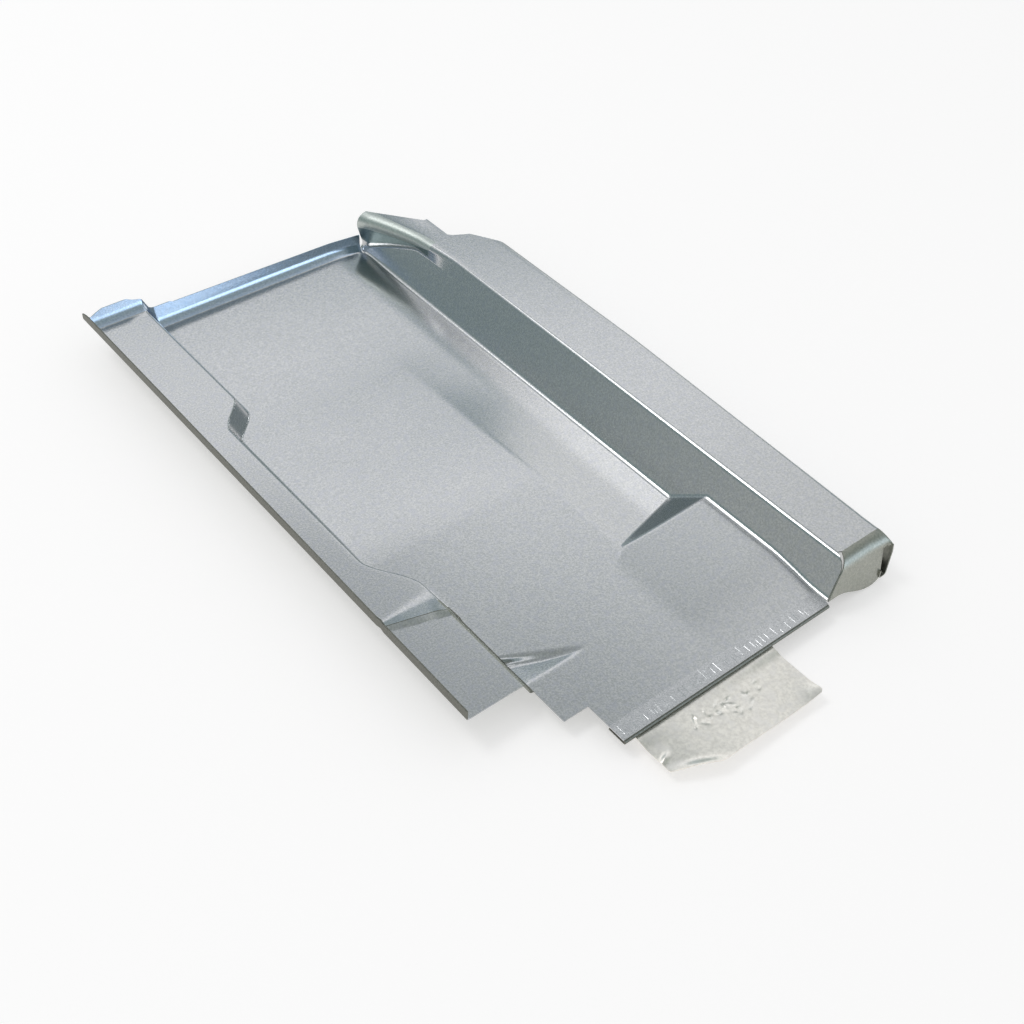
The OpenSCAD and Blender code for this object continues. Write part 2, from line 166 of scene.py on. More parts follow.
def mesh_object(name, points, faces, finishes, body="root"):
    """A mesh from millimetre points on the plate, placed in the frame. finishes
    gives the number of each face's material."""
    mesh = bpy.data.meshes.new(name)
    mesh.from_pydata([(Vector(p) - MIDDLE) * MM for p in points], [], faces)
    mesh.validate()
    mesh.update()
    for polygon, finish in zip(mesh.polygons, finishes, strict=True):
        polygon.use_smooth = True
        polygon.material_index = finish
    mesh.set_sharp_from_angle(angle=math.radians(CREASE_ANGLE))
    piece = bpy.data.objects.new(name, mesh)
    shading = piece.modifiers.new("shading", "WEIGHTED_NORMAL")
    shading.weight = FLAT_WEIGHT
    shading.keep_sharp = True
    bpy.context.scene.collection.objects.link(piece)
    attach(piece, body)
    return piece


def thick_grid(name, upper, metal, thickness, finish=lambda j, i: 0, under_finish=lambda j, i: 0):
    """A closed sheet: the upper face's grid of points, the same set down by the
    thickness along its normals, and side faces wherever the metal ends."""
    rows, cols = upper.shape[:2]
    present = np.zeros((rows + 1, cols + 1), bool)
    present[1:rows, 1:cols] = [[metal(j, i) for i in range(cols - 1)] for j in range(rows - 1)]

    def has(j, i):
        return present[j + 1, i + 1]

    lower = upper.copy()
    for j in range(rows):
        for i in range(cols):
            j1 = j + 1 if has(j, i) or has(j, i - 1) else j
            j0 = j - 1 if has(j - 1, i) or has(j - 1, i - 1) else j
            i1 = i + 1 if has(j, i) or has(j - 1, i) else i
            i0 = i - 1 if has(j, i - 1) or has(j - 1, i - 1) else i
            if j1 == j0 or i1 == i0:
                continue
            normal = np.cross(upper[j, i1] - upper[j, i0], upper[j1, i] - upper[j0, i])
            lower[j, i] = upper[j, i] - thickness * normal / max(np.linalg.norm(normal), 1e-9)
    under = rows * cols
    faces, finishes = [], []
    for j in range(rows - 1):
        for i in range(cols - 1):
            if not has(j, i):
                continue
            a, b, c, d = j * cols + i, j * cols + i + 1, (j + 1) * cols + i + 1, (j + 1) * cols + i
            faces.append((a, b, c, d))
            faces.append((a + under, d + under, c + under, b + under))
            finishes += [finish(j, i), under_finish(j, i)]
            for gone, p, q in ((not has(j - 1, i), a, b), (not has(j + 1, i), c, d),
                               (not has(j, i - 1), d, a), (not has(j, i + 1), b, c)):
                if gone:
                    faces.append((q, p, p + under, q + under))
                    finishes.append(finish(j, i))
    points = np.concatenate([upper.reshape(-1, 3), lower.reshape(-1, 3)])
    used = sorted({k for face in faces for k in face})
    number = {k: n for n, k in enumerate(used)}
    faces = [[number[k] for k in face] for face in faces]
    return mesh_object(name, points[used].tolist(), faces, finishes)


# --- The pressed sheet: plan lines and heights -------------------------------
def panel_width(y):
    front = ease(ramp(y, FRONT_CURVE_Y, FRONT_CURVE_Y + FRONT_CURVE_LEN))
    rear = ease(ramp(y, REAR_CURVE_Y, REAR_CURVE_Y + REAR_CURVE_LEN))
    return mix(mix(PANEL_WIDE, PANEL_NARROW, front), PANEL_WIDE, rear)


def in_dart(x):
    return clamp01((DART_TIP_X - x) / DART_LEN)


def in_facet(x):
    return clamp01((x - FACET_TIP_X) / FACET_LEN)


# The dart on the left and the facet on the right share three lines across the floor:
# its front crease, its lowest line and its rear crease.
def front_line(x):
    return mix(DART_FRONT_Y, FACET_FRONT_Y, ramp(x, DART_TIP_X, FACET_TIP_X))


def back_line(x):
    return (front_line(x) + CREASE_GAP
            + (DART_BACK_Y - DART_FRONT_Y - CREASE_GAP) * in_dart(x)
            + (FACET_BACK_Y - FACET_FRONT_Y - CREASE_GAP) * in_facet(x))


def middle_line(x):
    return mix(front_line(x), back_line(x), mix(0.5, DART_LOWEST, in_dart(x)))


def ridge_line(x):
    return float(np.interp(x, *RIDGE_LINE))


def behind_line(x):
    return float(np.interp(x, *BEHIND_LINE))


def sharp_floor_height(x, y):
    """Height of the floor with its creases sharp."""
    front, middle, back = front_line(x), middle_line(x), back_line(x)
    back_z = FRONT_Z - FRONT_RISE * in_facet(x)
    middle_z = mix(FRONT_Z, back_z, 0.5) - DART_DEPTH * in_dart(x)
    if y <= front:
        return FRONT_Z
    if y <= middle:
        return mix(FRONT_Z, middle_z, (y - front) / (middle - front))
    if y <= back:
        return mix(middle_z, back_z, (y - middle) / (back - middle))
    return mix(back_z, FLOOR_Z, settle(ramp(y, RAMP_Y, RAMP_Y + RAMP_LEN)))


def soft_ramp(x, a, b, r):
    """A ramp from 0 at a to 1 at b whose lower corner is rounded over a length r."""
    over = x - a
    if over <= -r:
        return 0.0
    return ((over + r) ** 2 / (4 * r) if over < r else over) / (b - a)


SAG = 1.9                  # how far the main floor falls to the foot of the rib
SAG_X = RIB_FOOT_X - 23
SAG_FROM, SAG_TO = 190.0, 300.0
BOW, BOW_X = 2.5, 133.0    # how far the front floor rises to the rib
BOW_FROM, BOW_TO = 6.0, 50.0
RELIEF_CORNER = 4.0        # how far the start of either slope is rounded
SOFTEN = (-0.8, -0.4, 0.0, 0.4, 0.8)     # how far a crease is rounded along the plate


def relief(x, y):
    """Soft unevenness of the pressed floor: along the rib the main floor falls to the
    rib's foot, more and more to the rear, and the front floor rises to it."""
    sag = SAG * (1 - soft_ramp(x, SAG_X, RIB_FOOT_X, RELIEF_CORNER)) * ease(ramp(y, SAG_FROM, SAG_TO))
    bow = BOW * soft_ramp(x, BOW_X, RIB_FOOT_X, RELIEF_CORNER) * ease(ramp(y, BOW_FROM, BOW_TO))
    bow *= 1 - ramp(y, front_line(x), back_line(x))
    return sag + bow


def floor_height(x, y):
    """Height of the floor with its creases rounded."""
    return relief(x, y) + sum(sharp_floor_height(x, y + d) for d in SOFTEN) / len(SOFTEN)


def panel_height(x, y):
    """Height of the panel, with the ridge that crosses it."""
    crest, behind = ridge_line(x), behind_line(x)
    rise = RIDGE_H * mix(RIDGE_LEFT, 1, clamp01(x / PANEL_WIDE))
    rise *= 1 - RIDGE_SINK * ramp(x, RIDGE_SINK_X, PANEL_WIDE)
    if y <= crest:
        return PANEL_Z + rise * ramp(y, crest - RIDGE_RUN, crest)
    return PANEL_Z + rise * min(1, soft_ramp(-y, -behind, -crest, RIDGE_TAIL * (behind - crest)))


def outer_x(y):
    """Where the rib's outer wall stands."""
    return PLATE_W - RIB_TAPER * (1 - ramp(y, TAPER_TO, TAPER_FROM))


# --- Rows along the plate ------------------------------------------------------
def straight(value):
    return lambda x: value


def moved(line, by):
    return lambda x: line(x) + by


def towards(line, other, reach):
    """A line reach away from a line on the side of another, or nearer where that is close."""
    def placed(x):
        gap = other(x) - line(x)
        return line(x) + math.copysign(min(reach, abs(gap) / 3), gap)
    return placed


# Lines across the plate on which rows of points lie, and the number of steps from
# each to the next. Rows stand close on both sides of a crease, so that its shading
# stays beside it.
KEY_LINES = {
    "edge": (straight(HEM_R), 5),
    "hem": (straight(HEM_D), 5),
    "strip": (straight(STRIP_FRONT), 7),
    "panel": (straight(PANEL_FRONT), 4),
    "level_front": (moved(front_line, -2), 1),
    "before": (moved(front_line, -1), 1),
    "front": (front_line, 1),
    "falling": (towards(front_line, middle_line, 1.0), 6),
    "fallen": (towards(middle_line, front_line, 1.0), 1),
    "middle": (middle_line, 1),
    "rising": (towards(middle_line, back_line, 0.8), 5),
    "risen": (towards(back_line, middle_line, 0.8), 1),
    "back": (back_line, 1),
    "past": (moved(back_line, 1), 1),
    "level_back": (moved(back_line, 2), 5),
    "foot": (moved(ridge_line, -RIDGE_RUN - 0.7), 1),
    "run": (moved(ridge_line, -RIDGE_RUN), 1),
    "climb": (moved(ridge_line, 0.7 - RIDGE_RUN), 2),
    "near_top": (moved(ridge_line, -0.25), 1),
    "ridge": (ridge_line, 1),
    "over": (moved(ridge_line, 0.6), 5),
    "low": (towards(behind_line, ridge_line, 5), 3),
    "behind": (behind_line, 3),
    "level": (moved(behind_line, 5), 3),
    "curve": (straight(FRONT_CURVE_Y + 12), 9),
    "narrow": (straight(FRONT_CURVE_Y + FRONT_CURVE_LEN), 16),
    "rear": (straight(REAR_CURVE_Y), 9),
    "rear_end": (straight(REAR_END_Y), 4),
    "flange": (straight(FLANGE_Y), 8),
    "step": (straight(STEP_Y), 14),
    "cove": (straight(PLATE_LEN - COVE_Y), 0),
}
CURLS = 14           # rows folded under the front edge
CURL_TURN = 8        # of them, rows round the fold
UPS = 8              # rows of the end upstand
COVE = 0.75          # share of them on its cove

ROWS = [("curl", k) for k in range(CURLS, 0, -1)]
LINES_AFTER = [line for line, _ in KEY_LINES.values()][1:] + [None]
for (name, (line, steps)), line_after in zip(KEY_LINES.items(), LINES_AFTER):
    ROWS.append((name, (line, line, 0.0)))
    ROWS += [("between", (line, line_after, k / steps)) for k in range(1, steps)]
ROWS += [("up", k / UPS) for k in range(1, UPS + 1)]
KINDS = [kind for kind, _ in ROWS]
EDGE_ROW, STRIP_ROW, PANEL_ROW, RIDGE_ROW, STEP_ROW, UP_ROW = (
    KINDS.index(kind) for kind in ("edge", "strip", "panel", "ridge", "step", "up"))


def row_y(row, x):
    """Where a row runs along the plate, at x."""
    kind, value = row
    if kind == "curl":
        return HEM_R
    if kind == "up":
        return PLATE_LEN - COVE_Y * (1 - value)
    line, after, f = value
    return line(x) if f == 0 else mix(line(x), after(x), f)


# --- Columns across the plate ----------------------------------------------------
# Steps of points on a bend, on each face of the section, and where each face starts
N_ARC, N_PANEL, N_STEP, N_SIDE, N_FLOOR, N_WALL, N_SLANT, N_TOP, N_OUT = 6, 8, 4, 6, 64, 7, 6, 16, 4
LIP_COL = N_ARC // 2
EDGE_COL = 1 + (N_ARC + 1) + (N_PANEL - 1)
FOOT_COL = EDGE_COL + (N_ARC + 1) + (N_STEP - 1) + N_ARC
HEM_COL = FOOT_COL + N_SIDE
FLOOR_COL = HEM_COL + N_FLOOR
WALL_COL = FLOOR_COL + 1
TOP_COL = WALL_COL + 3 * (N_ARC + 1) + 2 * (N_WALL - 1)
TOP_ARC_COL = TOP_COL - (N_ARC + 1)
COVE_END_COL = TOP_ARC_COL - (N_WALL - 1)
SLANT_COL = TOP_COL + N_SLANT
OUT_COL = TOP_COL + N_TOP


def between(a, b, n):
    """The n - 1 points that divide a-b into n equal stretches."""
    return [mix(np.array(a, float), np.array(b, float), k / n) for k in range(1, n)]


def section(row):
    """The section across the plate on a row, as [x, z] points from left to right."""
    y_panel, y_rib = row_y(row, PANEL_WIDE), row_y(row, RIB_FOOT_X)
    width = panel_width(y_panel)
    z_lip, z_edge = panel_height(0, row_y(row, 0)), panel_height(width, y_panel)
    z_foot, z_rib = floor_height(DART_X, row_y(row, DART_X)), floor_height(RIB_FOOT_X, y_rib)
    end = ramp(y_rib, FLANGE_Y, PLATE_LEN)
    cove_z = mix(RIB_Z, z_rib, end ** FLANGE_DROP)
    z_break = min(mix(z_rib, RIB_Z, BREAK_HIGHEST), max(z_rib + FLANGE_LOW, cove_z))
    fall = (RIB_H - FLANGE_H) * end ** FLANGE_FALL
    out = outer_x(y_rib)
    lip, lip_foot, edge = (SHEET_T, z_lip + LIP_H), (SHEET_T, z_lip), (width, z_edge)
    foot = (width + PANEL_DRAFT * (z_edge - z_foot), z_foot)
    base = (RIB_FOOT_X + RIB_DRAFT * (z_rib - FLOOR_Z), z_rib)
    wall_break = (RIB_FOOT_X + RIB_DRAFT * (z_break - FLOOR_Z), z_break)
    top_l = (RIB_FOOT_X + RIB_DRAFT * (cove_z - FLOOR_Z) - FLANGE_LEAN * end * end, RIB_Z - fall)
    top_r = (out, RIB_Z)
    skirt, turned = (out, RIB_SKIRT_Z), (out - RETURN_W, RIB_SKIRT_Z)
    points = [np.array(lip)] + arc(lip, lip_foot, edge, LIP_R, N_ARC)
    panel_arc = arc(lip_foot, edge, foot, BEND_R, N_ARC)
    points += [np.array((p[0], panel_height(p[0], row_y(row, p[0]))))
               for p in between(points[-1], panel_arc[0], N_PANEL)] + panel_arc
    foot_arc = arc(edge, foot, (base[0], z_foot), BEND_R, N_ARC)
    points += between(points[-1], foot_arc[0], N_STEP) + foot_arc
    xs = [mix(foot_arc[-1][0], HEM_X, k / N_SIDE) for k in range(1, N_SIDE)]
    xs += [mix(HEM_X, base[0] - FLOOR_GAP, k / (N_FLOOR - 1)) for k in range(N_FLOOR)]
    points += [np.array((x, floor_height(x, row_y(row, x)))) for x in xs]
    base_arc = arc((foot[0], z_rib), base, wall_break, FOOT_BEND, N_ARC)
    points += [mix(points[-1], base_arc[0], 0.5)] + base_arc
    cove = arc(base, wall_break, top_l, WIDE_BEND, N_ARC)
    top_arc = arc(wall_break, top_l, top_r, mix(TOP_BEND, FLANGE_BEND, end), N_ARC)
    points += between(points[-1], cove[0], N_WALL) + cove
    points += between(points[-1], top_arc[0], N_WALL) + top_arc
    out_arc = arc(top_l, top_r, skirt, WIDE_BEND, N_ARC)
    points += between(points[-1], (SLANT_X, RIB_Z), N_SLANT) + [np.array((SLANT_X, RIB_Z))]
    points += between(points[-1], out_arc[0], N_TOP - N_SLANT) + out_arc
    skirt_arc = arc(top_r, skirt, turned, BEND_R, N_ARC)
    points += between(points[-1], skirt_arc[0], N_OUT) + skirt_arc
    turned_arc = arc(skirt, turned, (turned[0], turned[1] + RETURN_H), BEND_R, N_ARC)
    return points + turned_arc + [np.array((turned[0], turned[1] + RETURN_H))]


# --- The pressed sheet: where each grid point lies in space ----------------------
def upstand_rise(i, x):
    """Height of the end upstand over the sheet in front of it."""
    if i < FOOT_COL:
        return UPSTAND_PANEL_H * mix(UPSTAND_LOW, 1, clamp01(x / UPSTAND_LEFT))
    return UPSTAND_H - UPSTAND_FALL * clamp01(x / RIB_FOOT_X)


def nose_front(z):
    """Front face of the rib's end at height z."""
    over = z - (RIB_Z - NOSE_R)
    if over <= 0:
        return WALL_FRONT + FLAP_LEAN * over / (RIB_Z - NOSE_R)
    return NOSE_Y - math.sqrt(max(0.0, NOSE_R ** 2 - over ** 2))


def flap_low(f):
    """Lower edge of the end flap, at f of its width."""
    return (mix(FRONT_Z - SHEET_T, FLAP_SIDE, ease(ramp(f, FLAP_FROM, FLAP_TO)))
            + FLAP_LIFT * ramp(f, FLAP_TO, 1) ** 2)


def curl_point(k, i, x, z):
    """A point of the rows folded under the front edge: hem, end flap, outer wall."""
    turned, back = min(1.0, k / CURL_TURN), max(0, k - CURL_TURN) / (CURLS - CURL_TURN)
    if i <= FLOOR_COL + 1:
        a = math.pi * turned
        y = HEM_R * (1 - math.sin(a)) + back * (HEM_D - HEM_R)
        return (x, y, FRONT_Z - HEM_R * (1 - math.cos(a)))
    f = clamp01((i - TOP_COL) / N_TOP)
    a = math.pi / 2 * turned
    z_flap = mix(RIB_Z - NOSE_R * (1 - math.cos(a)), flap_low(f), back)
    if i > OUT_COL:
        over = clamp01((i - OUT_COL) / N_ARC)
        front = NOSE_Y - (NOSE_Y - mix(WALL_FRONT, SKIRT_FRONT, over)) * math.sin(a)
        return (x, front, z - (1 - over) * NOSE_R * (1 - math.cos(a)))
    if i >= TOP_COL:
        left = RIB_FOOT_X + RIB_DRAFT * (z_flap - FLOOR_Z) + SEAM
        right = outer_x(0) - 2 * BEND_R
        return (mix(mix(x, left, turned), mix(left, right, f), turned), nose_front(z_flap), z_flap)
    return (x, nose_front(z_flap), z_flap)


def surface_point(j, i, p):
    """The point of row j and column i, where p is the section's [x, z] there."""
    kind, value = ROWS[j]
    x, z = float(p[0]), float(p[1])
    y = row_y(ROWS[j], x)
    if kind == "curl":
        return curl_point(value, i, x, z)
    if j < STRIP_ROW and i > FLOOR_COL + 1:
        start = nose_front(z) + SHEET_T + SEAM if i < TOP_COL else NOSE_Y
        return (x, mix(start, STRIP_FRONT, (j - EDGE_ROW) / (STRIP_ROW - EDGE_ROW)), z)
    if i <= LIP_COL:
        dip = LIP_DIP * value ** 2 if i == 0 and kind == "up" else 0
        return (x, stretch(y, RUN_OUT_Y, PLATE_LEN, BACK_END), z - dip)
    if kind == "up" and i <= FLOOR_COL:
        x += UPSTAND_REACH * value * ramp(x, UPSTAND_REACH_X, RIB_FOOT_X - FLOOR_GAP)
        steep = math.radians(90 - UPSTAND_LEAN)
        a = steep * min(1, value / COVE)
        y, low = PLATE_LEN - COVE_Y + COVE_R * math.sin(a), z + COVE_R * (1 - math.cos(a))
        if value <= COVE:
            return (x, y, low)
        top = z + upstand_rise(i, x)
        if i < HEM_COL:
            over = ease(ramp(x, PANEL_WIDE - TURN_DOWN, PANEL_WIDE + TURN_DOWN))
            top = mix(PANEL_Z + upstand_rise(0, x), FLOOR_Z + SAG + UPSTAND_H, over)
            top = max(low + UPSTAND_LEAST, top)
        rise = (top - low) * (value - COVE) / (1 - COVE)
        return (x, y + rise / math.tan(steep), low + rise)
    if i <= FLOOR_COL:
        return (x, y, z)
    if i < TOP_COL:
        return (x, stretch(y, RUN_OUT_Y, PLATE_LEN, FLANGE_END_Y), z)
    if i <= SLANT_COL:
        return (x, stretch(y, STEP_Y, PLATE_LEN, float(np.interp(x, *SLANT))), z)
    return (x, stretch(y, REAR_END_Y, STEP_Y, float(np.interp(x, *SLANT_RIGHT))), z)


def metal(j, i):
    """Is there sheet between rows j and j + 1, columns i and i + 1?"""
    if j < EDGE_ROW:
        return (HEM_COL <= i < FLOOR_COL or TOP_COL <= i < OUT_COL
                or (i >= OUT_COL and j >= EDGE_ROW - CURL_TURN))
    if j < STRIP_ROW:
        return i >= HEM_COL
    if j < PANEL_ROW:
        return i >= FOOT_COL
    if j >= STEP_ROW and i >= SLANT_COL:
        return False
    return not (j >= UP_ROW - 1 and i in (LIP_COL, FLOOR_COL))


# The sheet's finishes: polished by the press; dull, with painted shade, at bends, on the
# end flap and underneath; a painted blue reflection; worn on the hem band; nearly black
# painted shade; and for the far flange a painted dark teal reflection and a rougher finish
BRIGHT, DULL_PAINTED_SHADE, PAINTED_BLUE_REFLECTION, WORN, SHADED, SOFT, PAINTED_TEAL_REFLECTION = range(7)


def under_finish(j, i):
    """Which of the sheet's finishes a face of its under side has."""
    # The lip's outer face gets the nearly black painted shade, the rest of the underside the dull finish
    # whose darker colour is painted shade.
    return SHADED if i <= LIP_COL else DULL_PAINTED_SHADE


def finish(j, i):
    """Which of the sheet's finishes a face of its upper side has."""
    # The lip's rim and the ridge's crest: nearly black painted shade.
    if i < LIP_COL or (j == RIDGE_ROW and i < EDGE_COL):
        return SHADED
    # The rows folded under the front edge: painted shade, nearly black on the hem's fold and dull on the
    # end flap.
    if j < EDGE_ROW:
        return DULL_PAINTED_SHADE if i > FLOOR_COL else SHADED
    if j <= EDGE_ROW + WORN_ROWS and i < FLOOR_COL:
        return WORN
    # The end upstand: a painted blue reflection.
    if j >= UP_ROW and i < FLOOR_COL:
        return PAINTED_BLUE_REFLECTION
    # The far flange's cove: a painted dark teal reflection; its top bend: a rougher finish.
    if COVE_END_COL <= i < TOP_COL and row_y(ROWS[j], RIB_FOOT_X) > PLATE_LEN - FLANGE_TEAL_SOFT_LEN:
        return PAINTED_TEAL_REFLECTION if i < TOP_ARC_COL else SOFT
    # The bends at the panel's foot near the front: painted shade, nearly black on the foot's bend.
    if EDGE_COL <= i < FOOT_COL and row_y(ROWS[j], PANEL_WIDE) < FOOT_SHADE_LEN:
        return DULL_PAINTED_SHADE if i < FOOT_COL - N_ARC else SHADED
    return BRIGHT


def roof_plate():
    """The whole pressed sheet as one thickened grid of rows and columns."""
    upper = np.array([[surface_point(j, i, p) for i, p in enumerate(section(row))]
                      for j, row in enumerate(ROWS)], float)
    return thick_grid("pressed_sheet", upper, metal, SHEET_T, finish, under_finish)


TICK_SEED = 5
TICK_FIRST_X, TICK_LAST_X = HEM_X + 3.0, RIB_FOOT_X - 8
TICK_NEAR, TICK_LONG = (2.0, 4.5), (2.5, 6.5)      # its front end, and its length
TICK_HALF, TICK_TALL = (0.14, 0.26), (0.05, 0.11)  # half its width, and its height
TICK_STEP = (1.6, 6.0)                             # from one tick to the next
TICK_SINK = 0.05
TICK_FACES = ((0, 3, 4, 1), (1, 4, 5, 2), (0, 2, 5, 3), (0, 1, 2), (3, 5, 4))


def hem_ticks():
    """Short ridges that the folding tool left across the hem band, as thin roofs."""
    dice = np.random.default_rng(TICK_SEED)
    points, faces, x = [], [], TICK_FIRST_X
    while x < TICK_LAST_X:
        near, long = dice.uniform(*TICK_NEAR), dice.uniform(*TICK_LONG)
        half, tall = dice.uniform(*TICK_HALF), dice.uniform(*TICK_TALL)
        first = len(points)
        for y in (near, near + long):
            z = floor_height(x, y)
            points += [(x - half, y, z - TICK_SINK), (x, y, z + tall), (x + half, y, z - TICK_SINK)]
        faces += [[first + k for k in face] for face in TICK_FACES]
        x += dice.uniform(*TICK_STEP)
    return mesh_object("hem_ticks", points, faces, [0] * len(faces))


# --- The apron -----------------------------------------------------------------
APRON_ROWS, APRON_COLS = 90, 180
APRON_INSET = 0.15         # how far the wavy front edge stays inside the flat one
APRON_CORNER = 2.0
HOOK_STEPS = 9
HOOK_MIDDLE = 0.6
HANG_RIGHT, HANG_RIGHT_U, HANG_RIGHT_FROM, HANG_RIGHT_TO = 1.2, 0.35, 0.5, 7
HANG_LEFT, HANG_LEFT_X, HANG_LEFT_LEN, HANG_LEFT_TO = 1.5, APRON_X - 2, 12, 9
# its long waves, as height, turns along it and forwards in radians, and their start
APRON_WAVES = ((0.5, 5.1, 0.0, 0.7), (0.25, 11.0, 3.0, 0.0))
# its larger bumps, as height, x, y, half length, half width and turn in degrees
APRON_BUMPS = ((1.6, APRON_X + 15, -APRON_OUT + 4, 13, 3.2, -26),
               (1.3, APRON_X + APRON_W, -APRON_OUT + 2, 7, 5, 0),
               (0.9, APRON_X + 3, -17, 4, 1.6, 20))


def apron_side_view(steps):
    """The apron's middle line from the side: [y, z], from its hooked edge forwards."""
    leg_z = FRONT_Z - 2 * HEM_R + SHEET_T / 2
    bend = SHEET_T / 2 + APRON_PLAY
    path = [(HEM_R + APRON_SHORT, leg_z + bend), (mix(HEM_R, HEM_D, HOOK_MIDDLE), leg_z + bend)]
    path += [(HEM_D + bend * math.cos(a), leg_z + bend * math.sin(a))
             for a in np.linspace(math.pi / 2, -math.pi / 2, HOOK_STEPS)]
    front = APRON_INSET - APRON_OUT
    return path + [(mix(HEM_D, front, k / steps), leg_z - bend) for k in range(1, steps + 1)]


def bump_at(x, y, x0, y0, rx, ry, angle=0.0):
    """A round-topped dent of 1 at (x0, y0), turned by an angle in degrees."""
    c, s = math.cos(math.radians(angle)), math.sin(math.radians(angle))
    u, v = (x - x0) * c + (y - y0) * s, -(x - x0) * s + (y - y0) * c
    return math.exp(-(u / rx) ** 2 - (v / ry) ** 2)


DENT_SEED, DENT_COUNT = 11, 22
DENT_DEEP = (-0.45, 0.4)
DENT_X, DENT_OUT = (26, 80), (8, 22)
DENT_LONG, DENT_NARROW = (1.0, 2.6), (0.45, 0.8)


def scattered_dents():
    """Short pressed dents over the middle of the apron: depth, and where each lies."""
    dice = np.random.default_rng(DENT_SEED)
    dents = []
    for _ in range(DENT_COUNT):
        deep = dice.choice(DENT_DEEP)
        x, y = APRON_X + dice.uniform(*DENT_X), -dice.uniform(*DENT_OUT)
        long, narrow = dice.uniform(*DENT_LONG), dice.uniform(*DENT_NARROW)
        dents.append((deep, (x, y, long, narrow, dice.uniform(0, 180))))
    return dents


DENTS = scattered_dents()


def apron_height(x, y):
    """How far the soft sheet is bent up or down from flat at (x, y): its right side and
    its left end hang, long waves run over it, and bumps and dents lie on top."""
    out = clamp01(-y / APRON_OUT)
    u = (x - APRON_X) / APRON_W
    h = -HANG_RIGHT * ease(ramp(-y, HANG_RIGHT_FROM, HANG_RIGHT_TO)) * ramp(u, HANG_RIGHT_U, 1)
    h += -HANG_LEFT * ease(ramp(-y, 0, HANG_LEFT_TO)) * bump_at(x, 0, HANG_LEFT_X, 0, HANG_LEFT_LEN, 1)
    h += sum(high * math.sin(along * u + forwards * out + start) * out
             for high, along, forwards, start in APRON_WAVES)
    for high, *bump in APRON_BUMPS:
        h += high * bump_at(x, y, *bump)
    h += sum(deep * bump_at(x, y, *dent) for deep, dent in DENTS)
    return h * ramp(-y, -1, 1)


def apron():
    """The soft sheet hooked into the hem, narrowing at its cut corner."""
    path = apron_side_view(APRON_ROWS)
    upper = np.zeros((len(path), APRON_COLS + 1, 3))
    for j, (y, z) in enumerate(path):
        cut = clamp01((-y - (APRON_OUT - APRON_CUT_D)) / APRON_CUT_D)
        left, right = APRON_X + cut * APRON_CUT_W, APRON_X + APRON_W
        right -= APRON_CORNER * ramp(-y, APRON_OUT - APRON_CORNER, APRON_OUT) ** 2
        for i in range(APRON_COLS + 1):
            x = mix(left, right, i / APRON_COLS)
            upper[j, i] = (x, y, z + apron_height(x, y))
    # the grid runs forwards, so its rows are turned round to face up
    return thick_grid("soft_apron", upper[::-1].copy(), lambda j, i: True, APRON_T)


# --- Metals ----------------------------------------------------------------------
def node(tree, kind, inputs=(), **settings):
    made = tree.nodes.new(kind)
    for key, value in settings.items():
        setattr(made, key, value)
    for key, value in dict(inputs).items():
        if isinstance(value, bpy.types.NodeSocket):
            tree.links.new(value, made.inputs[key])
        else:
            made.inputs[key].default_value = value
    return made


BROAD_SCALE, TINT_SCALE = 0.035, 0.4     # scales of the broad and the tinted mottle
TINT_SHARE = 0.55
GLOSS_SPREAD = 0.012
BUMP_DEPTH = 0.0002
# name; light, dark and tinted colour of its mottle; roughness, scale and bump of its
# grain. They are the sheet's finishes in the order of finish()'s constants, the polished one first and
# the painted dark teal reflection last.
FINISHES = (
    ("galvanised_steel", (0.62, 0.62, 0.62), (0.47, 0.48, 0.48), (0.50, 0.51, 0.56), 0.16, 900.0, 0.16),
    # dull and rougher; its darker colour is painted shade
    ("galvanised_dull_painted_shade", (0.42, 0.42, 0.37), (0.30, 0.31, 0.27), (0.36, 0.36, 0.33), 0.42, 900.0, 0.16),
    # a painted blue reflection
    ("galvanised_painted_blue_reflection", (0.58, 0.67, 0.78), (0.46, 0.54, 0.65), (0.46, 0.58, 0.74), 0.20, 900.0, 0.14),
    ("galvanised_worn", (0.68, 0.68, 0.69), (0.48, 0.485, 0.49), (0.54, 0.54, 0.56), 0.26, 1300.0, 0.30),
    # nearly black painted shade
    ("galvanised_shaded", (0.21, 0.21, 0.18), (0.15, 0.15, 0.13), (0.18, 0.18, 0.16), 0.45, 900.0, 0.16),
    ("galvanised_soft", (0.60, 0.64, 0.61), (0.48, 0.51, 0.48), (0.52, 0.55, 0.54), 0.38, 900.0, 0.16),
    # a painted dark teal reflection
    ("galvanised_painted_teal_reflection", (0.25, 0.31, 0.31), (0.18, 0.23, 0.23), (0.21, 0.27, 0.28), 0.38, 900.0, 0.16),
)
ALUMINIUM = (
    "apron_aluminium", (0.96, 0.92, 0.85), (0.80, 0.765, 0.705), (0.84, 0.81, 0.78), 0.28, 500.0, 0.14)


